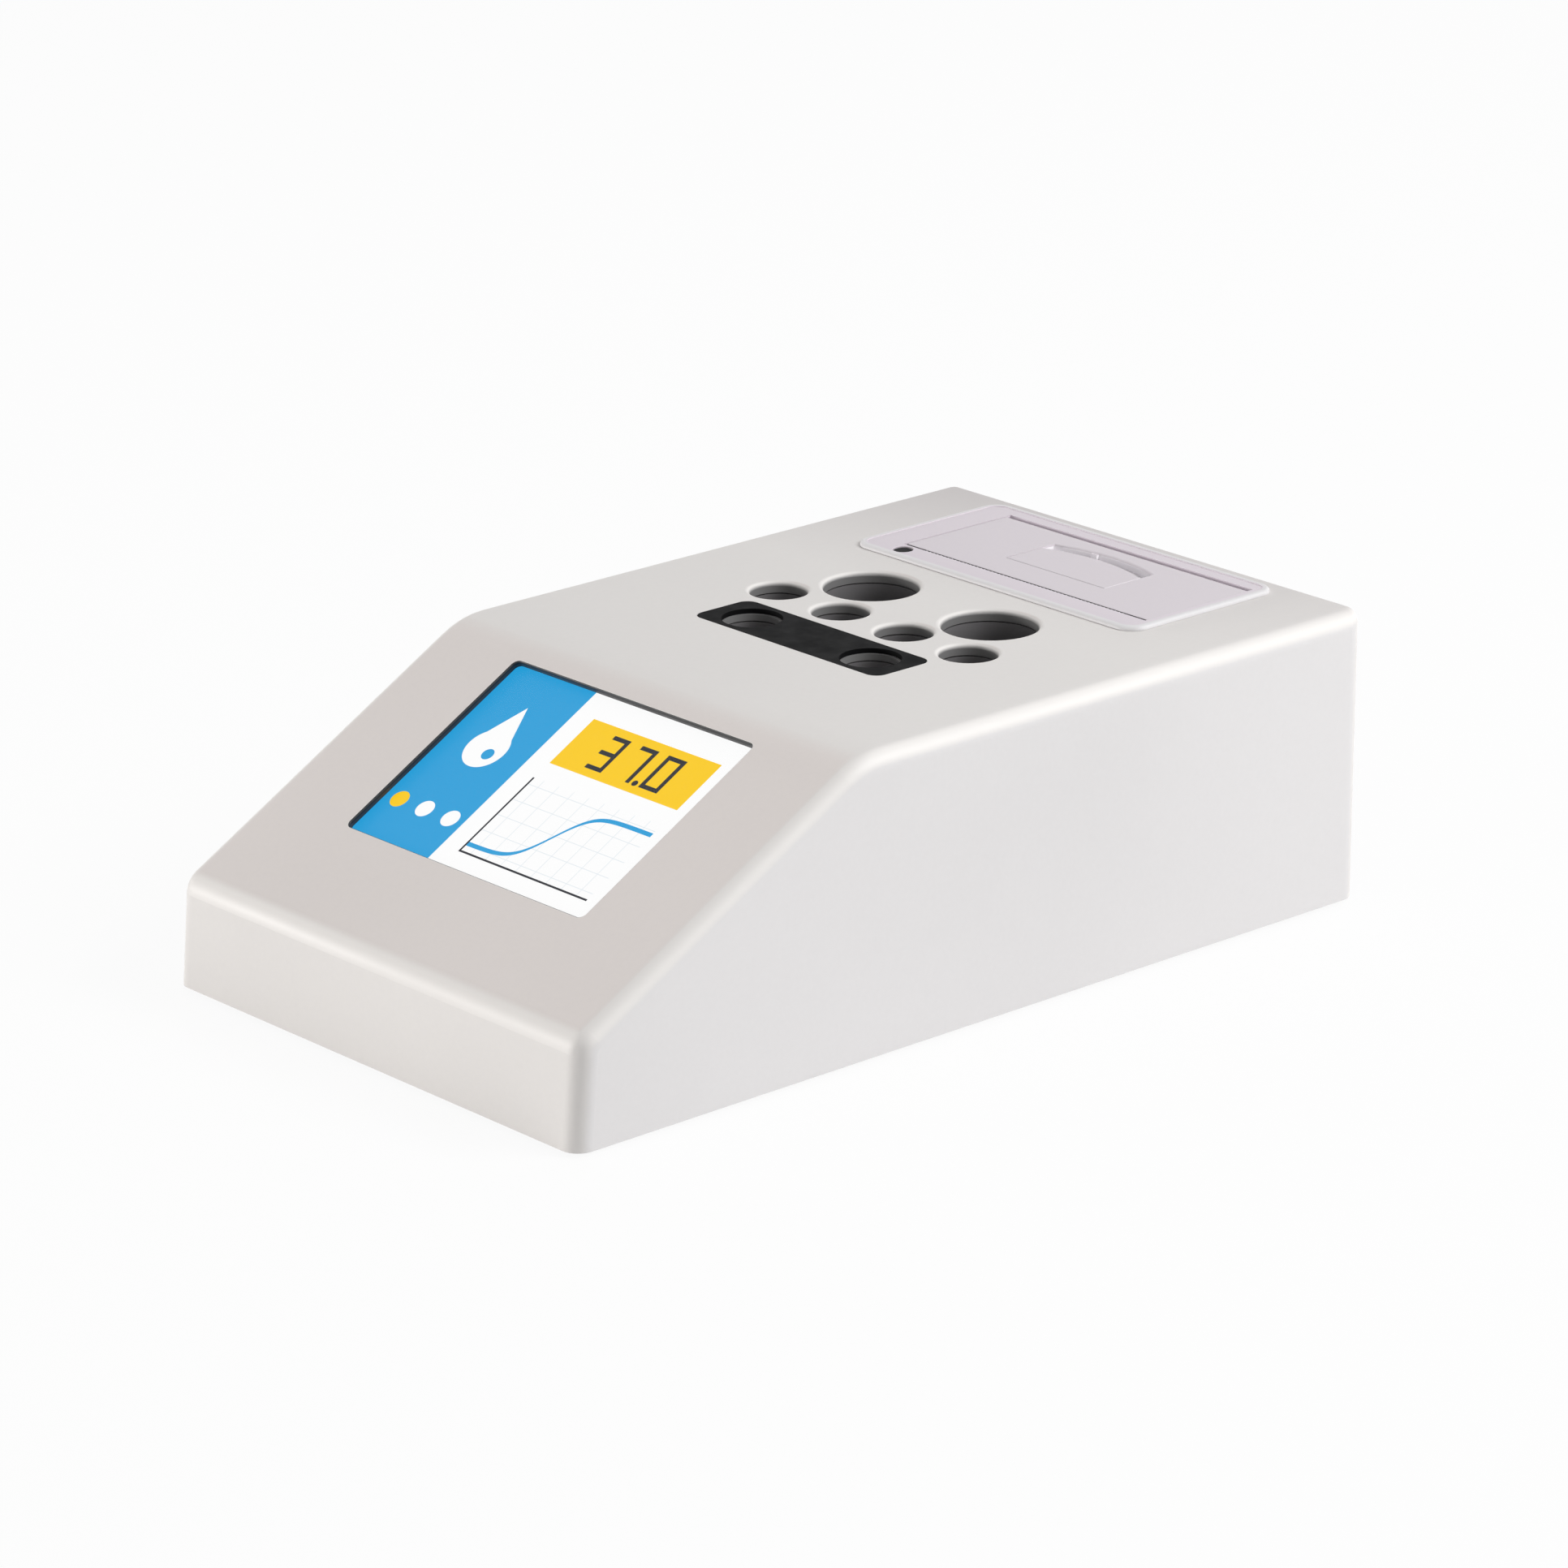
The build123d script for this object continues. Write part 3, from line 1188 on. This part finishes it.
# Printer body: the bucket that hangs in the cut-out, with two paper guides and posts for its board
with BuildPart() as printer_body:
    with BuildSketch(Plane.XY.offset(printer_bottom_z)):
        with Locations((0, bezel_y)):
            RectangleRounded(printer_width, printer_depth, printer_radius)
    extrude(amount=printer_rim_z - printer_bottom_z)
    with BuildSketch(Plane.XY.offset(printer_rim_z + overrun)):
        with Locations((0, bezel_y)):
            Rectangle(printer_width - 2 * printer_wall, printer_depth - 2 * printer_wall)
    extrude(amount=-(printer_rim_z + overrun - bay_floor_z), mode=Mode.SUBTRACT)
    for side in (-1, 1):
        with BuildSketch(Plane.XY.offset(bay_floor_z)):
            with Locations((door_center_x + side * (guide_half_gap + guide_thickness / 2), bezel_y)):
                Rectangle(guide_thickness, printer_depth - printer_wall)
        extrude(amount=guide_height)
        with BuildSketch(Plane.XY.offset(bay_floor_z + guide_height - catch_height)):
            with Locations((door_center_x + side * (guide_half_gap - hook_thickness / 2), catch_y)):
                Rectangle(hook_thickness, catch_depth)
        extrude(amount=catch_height)
    with BuildSketch(Plane.XY.offset(printer_bottom_z)):
        with Locations(*printer_post_places):
            Circle(printer_post_radius)
    extrude(amount=-(printer_board_drop - seat_gap))
    with BuildSketch(Plane.XY.offset(printer_bottom_z - printer_board_drop)):
        with Locations(*printer_post_places):
            Circle(display_screw_radius)
    extrude(amount=printer_board_drop, mode=Mode.SUBTRACT)
    with BuildSketch(Plane.XY.offset(printer_rim_z + overrun)):
        with Locations((button_x, bezel_y - printer_depth / 2)):
            Rectangle(button_board_width + 2 * slip_gap, 2 * (printer_wall + overrun))
    extrude(amount=-(overrun + printer_rim_z - button_board_z + seat_gap), mode=Mode.SUBTRACT)
    # Holes in the right wall and guide: the gear axle, the motor shaft, the clamp screws
    with BuildSketch(Plane.YZ.offset(door_center_x + guide_half_gap - overrun)):
        with Locations(drive_center):
            Circle(gear_axle_radius + running_gap)
    extrude(amount=printer_width / 2 + 2 * overrun - door_center_x - guide_half_gap, mode=Mode.SUBTRACT)
    with BuildSketch(Plane.YZ.offset(printer_width / 2 - printer_wall - overrun)):
        with Locations(pinion_center):
            Circle(motor_boss_radius + seat_gap)
    extrude(amount=printer_wall + 2 * overrun, mode=Mode.SUBTRACT)
    with BuildSketch(Plane.YZ.offset(-printer_width / 2 - overrun)):
        with Locations((clamp_y, clamp_screw_z)):
            Circle(clamp_screw_radius)
    extrude(amount=printer_width + 2 * overrun, mode=Mode.SUBTRACT)
finish(printer_body, "printer_body")


def on_bead(edge):
    """Whether an edge lies on the inner outline of the bezel's raised rim."""
    beside = abs(edge.center().X) < bezel_width / 2 - bezel_bead + tolerance
    return beside and abs(edge.center().Y - bezel_y) < bezel_depth / 2 - bezel_bead + tolerance


# Bezel: a flange with a raised rim over the cover, and a frame that fills the cut-out below it
with BuildPart() as printer_bezel:
    with BuildSketch(Plane.XY.offset(z_top + running_gap)):
        with Locations((0, bezel_y)):
            RectangleRounded(bezel_width, bezel_depth, bezel_radius)
    extrude(amount=bezel_rise - running_gap)
    fillet(edges().group_by(Axis.Z)[-1], bezel_edge_radius)
    with BuildSketch(Plane.XY.offset(z_top + bezel_rise - bezel_bead_height)):
        with Locations((0, bezel_y)):
            RectangleRounded(bezel_width - 2 * bezel_bead, bezel_depth - 2 * bezel_bead, bezel_radius - bezel_bead)
    extrude(amount=bezel_bead_height + overrun, mode=Mode.SUBTRACT)
    fillet(edges().group_by(Axis.Z)[-1].filter_by(on_bead), bezel_bead_radius)
    with BuildSketch(Plane.XY.offset(z_top - bezel_frame_drop)):
        with Locations((0, bezel_y)):
            RectangleRounded(printer_width, printer_depth, printer_radius)
    extrude(amount=bezel_frame_drop + bezel_rise / 2)
    with BuildSketch(Plane.XY.offset(z_top - bezel_frame_drop - overrun)):
        with Locations((door_center_x, (door_mouth_front_y + door_mouth_rear_y) / 2)):
            Rectangle(door_width + 2 * door_gap, door_mouth_rear_y - door_mouth_front_y)
        with Locations((button_x, button_y)):
            Circle(button_hole_radius)
    extrude(amount=bezel_frame_drop + bezel_rise + 2 * overrun, mode=Mode.SUBTRACT)
    button_rims = edges().filter_by(GeomType.CIRCLE).filter_by(
        lambda edge: abs(edge.radius - button_hole_radius) < tolerance
    )
    fillet(button_rims.group_by(Axis.Z)[-1], button_rim_radius)
    with BuildSketch(Plane.YZ.offset(door_center_x - door_width / 2 - door_gap - hinge_pin_reach)):
        with Locations((hinge_y, hinge_z)):
            Circle(hinge_pin_radius + running_gap)
    extrude(amount=door_width + 2 * (door_gap + hinge_pin_reach), mode=Mode.SUBTRACT)
finish(printer_bezel, "printer_bezel")

# Door: a flat plate with a full-round hinge edge, ears for the platen, and a recess for the latch
with BuildPart() as printer_door:
    with BuildSketch(Plane.YZ.offset(door_center_x - door_width / 2)):
        with Locations(((door_front_y + hinge_y) / 2, door_top_z - door_thickness / 2)):
            Rectangle(hinge_y - door_front_y, door_thickness)
        with Locations((hinge_y, hinge_z)):
            Circle(hinge_radius)
    extrude(amount=door_width)
    fillet(edges().filter_by(Axis.X).group_by(Axis.Y)[0].sort_by(Axis.Z)[-1], door_edge_radius)
    with BuildSketch(Plane.XY.offset(door_top_z - door_thickness)):
        with BuildLine():
            Polyline(*tub_outline, close=True)
        make_face()
    extrude(amount=-(recess_depth + recess_floor - door_thickness))
    with BuildSketch(Plane.YZ.offset(door_center_x - latch_shaft_half + hook_thickness + slip_gap)):
        with Locations((latch_pivot_y, latch_pivot_z)):
            Rectangle(2 * latch_rib_half, 2 * latch_rib_half)
        with Locations((latch_pivot_y, door_top_z)):
            Rectangle(4 * latch_rib_half, 2 * latch_shaft_radius, mode=Mode.SUBTRACT)
    extrude(amount=2 * (latch_shaft_half - hook_thickness - slip_gap))
    for side in (-1, 1):
        with BuildSketch(Plane.YZ.offset(door_center_x + side * ear_inner)):
            with Locations((platen_y, door_top_z - door_thickness - ear_height / 2)):
                Rectangle(2 * ear_half_depth, ear_height)
            with Locations((platen_y, platen_z)):
                Circle(platen_shaft_radius + running_gap, mode=Mode.SUBTRACT)
        extrude(amount=side * ear_thickness)
    for side in (-1, 1):
        with BuildSketch(Plane.YZ.offset(door_center_x + side * ear_inner)):
            with Locations((latch_pivot_y, latch_pivot_z)):
                Circle(hook_width / 2 + slip_gap)
        extrude(amount=-side * (catch_gap + hook_thickness + slip_gap), mode=Mode.SUBTRACT)
    # Recess behind the latch plate, open below its nose
    with BuildSketch(Plane.XY.offset(door_top_z + overrun)):
        with BuildLine():
            Line((latch_left_x - latch_gap, latch_pivot_y), (latch_right_x + latch_gap, latch_pivot_y))
            Line((latch_right_x + latch_gap, latch_pivot_y), (latch_right_x + latch_gap, recess_end_y))
            ThreePointArc(
                (latch_right_x + latch_gap, recess_end_y),
                (latch_x, recess_end_y + latch_arch),
                (latch_left_x - latch_gap, recess_end_y),
            )
            Line((latch_left_x - latch_gap, recess_end_y), (latch_left_x - latch_gap, latch_pivot_y))
        make_face()
    extrude(amount=-(overrun + recess_depth), mode=Mode.SUBTRACT)
    recess_rims = edges().filter_by(GeomType.CIRCLE).filter_by(lambda edge: edge.length > latch_width)
    fillet(recess_rims.group_by(Axis.Z)[-1], recess_edge_radius)
    with BuildSketch(Plane.YZ.offset(latch_left_x - latch_gap)):
        with Locations((latch_pivot_y, latch_pivot_z)):
            Circle(latch_nose_swing)
    extrude(amount=latch_width + 2 * latch_gap, mode=Mode.SUBTRACT)
    with BuildSketch(Plane.YZ.offset(recess_rib_x - recess_rib_width / 2)):
        with Locations((recess_end_y + latch_arch, door_top_z - recess_depth / 2 - latch_gap)):
            Rectangle(2 * (recess_reach - latch_arch + latch_gap), recess_depth - 2 * latch_gap)
    extrude(amount=recess_rib_width)
    with BuildSketch(Plane.YZ.offset(door_center_x - door_width / 2 - overrun)):
        with Locations((hinge_y, hinge_z)):
            Circle(hinge_pin_radius + running_gap)
    extrude(amount=door_width + 2 * overrun, mode=Mode.SUBTRACT)
    with BuildSketch(Plane.YZ.offset(door_center_x - latch_shaft_half)):
        with Locations((latch_pivot_y, latch_pivot_z)):
            Circle(latch_shaft_radius + running_gap)
    extrude(amount=2 * latch_shaft_half, mode=Mode.SUBTRACT)
finish(printer_door, "printer_door")

with BuildPart() as hinge_pin:
    with BuildSketch(Plane.YZ.offset(door_center_x - door_width / 2 - door_gap - hinge_pin_reach + seat_gap)):
        with Locations((hinge_y, hinge_z)):
            Circle(hinge_pin_radius)
    extrude(amount=door_width + 2 * (door_gap + hinge_pin_reach - seat_gap))
finish(hinge_pin, "hinge_pin")

# Latch: a finger plate whose nose turns on a cross shaft, with a hook at each end of the shaft
with BuildPart() as latch_plate:
    with BuildSketch(Plane.XY.offset(door_top_z)):
        with BuildLine():
            Line((latch_left_x, latch_front_y), (latch_right_x, latch_front_y))
            Line((latch_right_x, latch_front_y), (latch_right_x, latch_end_y))
            ThreePointArc(
                (latch_right_x, latch_end_y), (latch_x, latch_end_y + latch_arch), (latch_left_x, latch_end_y)
            )
            Line((latch_left_x, latch_end_y), (latch_left_x, latch_front_y))
        make_face()
    extrude(amount=-latch_thickness)
    with BuildSketch(Plane.XY.offset(door_top_z)):
        with Locations((latch_x, latch_pivot_y)):
            Rectangle(latch_width, 2 * latch_nose_depth)
    extrude(amount=-(latch_pivot_drop + latch_bar_half))
    fillet(edges().group_by(Axis.Z)[-1], latch_edge_radius)
    with BuildSketch(Plane.YZ.offset(latch_x - spring_width / 2)):
        with Locations((latch_pivot_y, latch_pivot_z - overrun)):
            Rectangle(2 * latch_nose_depth + 2 * overrun, 2 * (spring_radius + spring_clearance + overrun))
    extrude(amount=spring_width, mode=Mode.SUBTRACT)
    with BuildSketch(Plane.YZ.offset(latch_left_x - overrun)):
        with Locations((latch_pivot_y, latch_pivot_z)):
            Circle(latch_shaft_radius + running_gap)
    extrude(amount=latch_width + 2 * overrun, mode=Mode.SUBTRACT)
finish(latch_plate, "latch_plate")

with BuildPart() as latch_shaft:
    with BuildSketch(Plane.YZ.offset(door_center_x - latch_shaft_half)):
        with Locations((latch_pivot_y, latch_pivot_z)):
            Circle(latch_shaft_radius)
    extrude(amount=2 * latch_shaft_half)
finish(latch_shaft, "latch_shaft")

with BuildPart() as latch_hooks:
    for side in (-1, 1):
        with BuildSketch(Plane.YZ.offset(door_center_x + side * latch_shaft_half)):
            with Locations((latch_pivot_y, latch_pivot_z)):
                Circle(hook_width / 2)
            with Locations((latch_pivot_y, latch_pivot_z - hook_drop / 2)):
                Rectangle(hook_width, hook_drop)
            with Locations((latch_pivot_y - hook_nose_reach / 2, hook_bottom_z + hook_nose / 2)):
                Rectangle(hook_width + hook_nose_reach, hook_nose)
            with Locations((latch_pivot_y, latch_pivot_z)):
                Circle(latch_shaft_radius + running_gap, mode=Mode.SUBTRACT)
        extrude(amount=-side * hook_thickness)
finish(latch_hooks, "latch_hooks")

with BuildPart() as latch_spring:
    with BuildSketch(Plane.YZ.offset(latch_x - spring_width / 2 + spring_clearance)):
        with Locations((latch_pivot_y, latch_pivot_z)):
            Circle(spring_radius)
            Circle(latch_shaft_radius + spring_clearance, mode=Mode.SUBTRACT)
    extrude(amount=spring_width - 2 * spring_clearance)
finish(latch_spring, "latch_spring")

# Tear bar: a steel blade with a row of teeth along the door's front edge
with BuildPart() as tear_bar:
    with BuildSketch(Plane.XZ.offset(-tear_front_y)):
        with BuildLine():
            Polyline(*tear_outline, close=True)
        make_face()
    extrude(amount=-tear_thickness)
finish(tear_bar, "tear_bar")

# Print head: a ceramic strip on its heat sink, pressed towards the platen by two springs
with BuildPart() as print_head:
    with BuildSketch(Plane.XZ.offset(-(head_face_y - head_thickness))):
        with Locations((door_center_x, head_top_z - head_height / 2)):
            Rectangle(tear_length, head_height)
    extrude(amount=-head_thickness)
finish(print_head, "print_head")

with BuildPart() as head_sink:
    with BuildSketch(Plane.XZ.offset(-(head_face_y - head_thickness - seat_gap - sink_thickness))):
        with Locations((door_center_x, head_top_z - sink_height / 2)):
            Rectangle(tear_length, sink_height)
    extrude(amount=-sink_thickness)
finish(head_sink, "head_sink")

with BuildPart() as head_springs:
    with BuildSketch(Plane.XZ.offset(-(bezel_y - printer_depth / 2 + printer_wall + running_gap))):
        with Locations((0, head_top_z - head_height / 2)):
            with Locations(*[(door_center_x + side * head_spring_share * tear_length, 0) for side in (-1, 1)]):
                Circle(head_spring_radius)
                Circle(head_spring_radius / 2, mode=Mode.SUBTRACT)
    extrude(amount=-(head_spring_length))
finish(head_springs, "head_springs")

# Platen: a rubber roller on its shaft, with the gear that drives it
with BuildPart() as platen_shaft:
    with BuildSketch(Plane.YZ.offset(door_center_x - ear_inner - ear_thickness - ear_gap)):
        with Locations(platen_center):
            Circle(platen_shaft_radius)
    extrude(amount=gear_x + gear_width - (door_center_x - ear_inner - ear_thickness - ear_gap))
finish(platen_shaft, "platen_shaft")

with BuildPart() as platen_roller:
    with BuildSketch(Plane.YZ.offset(door_center_x - ear_inner + ear_gap)):
        with Locations(platen_center):
            Circle(platen_radius)
            Circle(platen_shaft_radius + tolerance, mode=Mode.SUBTRACT)
    extrude(amount=2 * (ear_inner - ear_gap))
finish(platen_roller, "platen_roller")


def spur_gear(center, teeth, phase, bore):
    """A straight-toothed gear on an axis along X, with one tooth at the angle phase."""
    pitch_radius = gear_module * teeth / 2
    root_radius = pitch_radius - tooth_root
    tip_radius = pitch_radius + tooth_tip
    radii = (root_radius, tip_radius, tip_radius, root_radius)
    points = []
    for tooth in range(teeth):
        for share, radius in zip(tooth_corner_shares, radii):
            turn = phase + 2 * pi * (tooth + share) / teeth
            points.append((center[0] + radius * cos(turn), center[1] + radius * sin(turn)))
    with BuildPart() as gear:
        with BuildSketch(Plane.YZ.offset(gear_x)):
            with BuildLine():
                Polyline(*points, close=True)
            make_face()
            with Locations(center):
                Circle(bore, mode=Mode.SUBTRACT)
        extrude(amount=gear_width)
    return gear


platen_gear = spur_gear(
    platen_center, platen_teeth, mesh_angle + pi + pi / platen_teeth, platen_shaft_radius + tolerance
)
finish(platen_gear, "platen_gear")

drive_gear = spur_gear(drive_center, drive_teeth, mesh_angle, gear_axle_radius + running_gap)
finish(drive_gear, "drive_gear")

# The motor's pinion is one piece with its shaft
with BuildPart() as motor_pinion:
    add(spur_gear(pinion_center, pinion_teeth, mesh_angle + pi / pinion_teeth, motor_shaft_radius).part)
    with BuildSketch(Plane.YZ.offset(gear_x)):
        with Locations(pinion_center):
            Circle(motor_shaft_radius)
    extrude(amount=printer_width / 2 + seat_gap + motor_length / 2 - gear_x)
finish(motor_pinion, "motor_pinion")

with BuildPart() as gear_axle:
    with BuildSketch(Plane.YZ.offset(door_center_x + guide_half_gap)):
        with Locations(drive_center):
            Circle(gear_axle_radius)
    extrude(amount=printer_width / 2 - door_center_x - guide_half_gap)
finish(gear_axle, "gear_axle")

# Feed motor on the outside of the right wall
with BuildPart() as feed_motor:
    with BuildSketch(Plane.YZ.offset(printer_width / 2 + seat_gap)):
        with Locations(pinion_center):
            Circle(motor_radius)
    extrude(amount=motor_length)
    with BuildSketch(Plane.YZ.offset(printer_width / 2 + seat_gap)):
        with Locations(pinion_center):
            RectangleRounded(2 * motor_flange_reach, motor_flange_height, motor_flange_height / 2 - tolerance)
    extrude(amount=motor_flange_thickness)
    with BuildSketch(Plane.YZ.offset(printer_width / 2 + seat_gap)):
        with Locations(pinion_center):
            Circle(motor_boss_radius)
    extrude(amount=-motor_boss_length)
    with BuildSketch(Plane.YZ.offset(printer_width / 2 - motor_boss_length - overrun)):
        with Locations(pinion_center):
            Circle(motor_shaft_radius + running_gap)
    extrude(amount=overrun + motor_boss_length + 2 * seat_gap + motor_length / 2, mode=Mode.SUBTRACT)
finish(feed_motor, "feed_motor")

# Clamps on both sides pull the printer down, each held by one screw
with BuildPart() as printer_clamps:
    for side in (-1, 1):
        with BuildSketch(Plane.XZ.offset(-(clamp_y - clamp_width / 2))):
            with BuildLine():
                Polyline(*[(side * x, z) for x, z in clamp_outline], close=True)
            make_face()
        extrude(amount=-clamp_width)
    with BuildSketch(Plane.YZ.offset(-printer_width)):
        with Locations((clamp_y, clamp_screw_z)):
            Circle(clamp_screw_radius + seat_gap)
    extrude(amount=2 * printer_width, mode=Mode.SUBTRACT)
finish(printer_clamps, "printer_clamps")

clamp_screws = pan_screws(
    [
        Location((side * (clamp_inner_x + seat_gap + clamp_thickness), clamp_y, clamp_screw_z), (0, side * 90, 0))
        for side in (-1, 1)
    ],
    clamp_screw_radius - seat_gap,
    clamp_screw_head_radius,
    clamp_screw_head,
    printer_wall + clamp_thickness + seat_gap,
    drive_slot_radius,
)
finish(clamp_screws, "clamp_screws")

# Printer control board under the body
with BuildPart() as printer_board:
    with BuildSketch(Plane.XY.offset(printer_bottom_z - printer_board_drop)):
        with Locations((0, printer_board_y)):
            Rectangle(printer_board_width, printer_board_length)
        with Locations(*printer_post_places):
            Circle(display_screw_radius + seat_gap, mode=Mode.SUBTRACT)
    extrude(amount=-printer_board_thickness)
    for x_share, y_share, width_share, length_share, height in printer_chip_shares:
        with BuildSketch(Plane.XY.offset(printer_bottom_z - printer_board_drop - printer_board_thickness)):
            with Locations((x_share * printer_board_width, printer_board_y + y_share * printer_board_length)):
                Rectangle(width_share * printer_board_width, length_share * printer_board_length)
        extrude(amount=-height)
finish(printer_board, "printer_board")

# Feed button in the bezel's corner, over a switch on its own small board
with BuildPart() as feed_button:
    with BuildSketch(Plane.XY.offset(button_top_z)):
        with Locations((button_x, button_y)):
            Circle(button_hole_radius - button_gap)
    extrude(amount=-(button_top_z - button_flange_top_z))
    fillet(edges().group_by(Axis.Z)[-1], foot_edge_radius)
    with BuildSketch(Plane.XY.offset(button_flange_top_z)):
        with Locations((button_x, button_y)):
            Circle(button_flange_radius)
    extrude(amount=-button_flange_thickness)
    with BuildSketch(Plane.XY.offset(button_flange_top_z - button_flange_thickness)):
        with Locations((button_x, button_y)):
            Circle(button_stem_radius)
    extrude(amount=-button_stem_drop)
finish(feed_button, "feed_button")

with BuildPart() as button_board:
    with BuildSketch(Plane.XY.offset(button_board_z)):
        with Locations((button_x, button_y)):
            Rectangle(button_board_width, button_board_depth)
    extrude(amount=button_board_thickness)
    with BuildSketch(Plane.XY.offset(button_board_z + button_board_thickness)):
        with Locations((button_x, button_y)):
            Rectangle(button_switch_width, button_switch_width)
    extrude(amount=button_switch_height)
finish(button_board, "button_board")
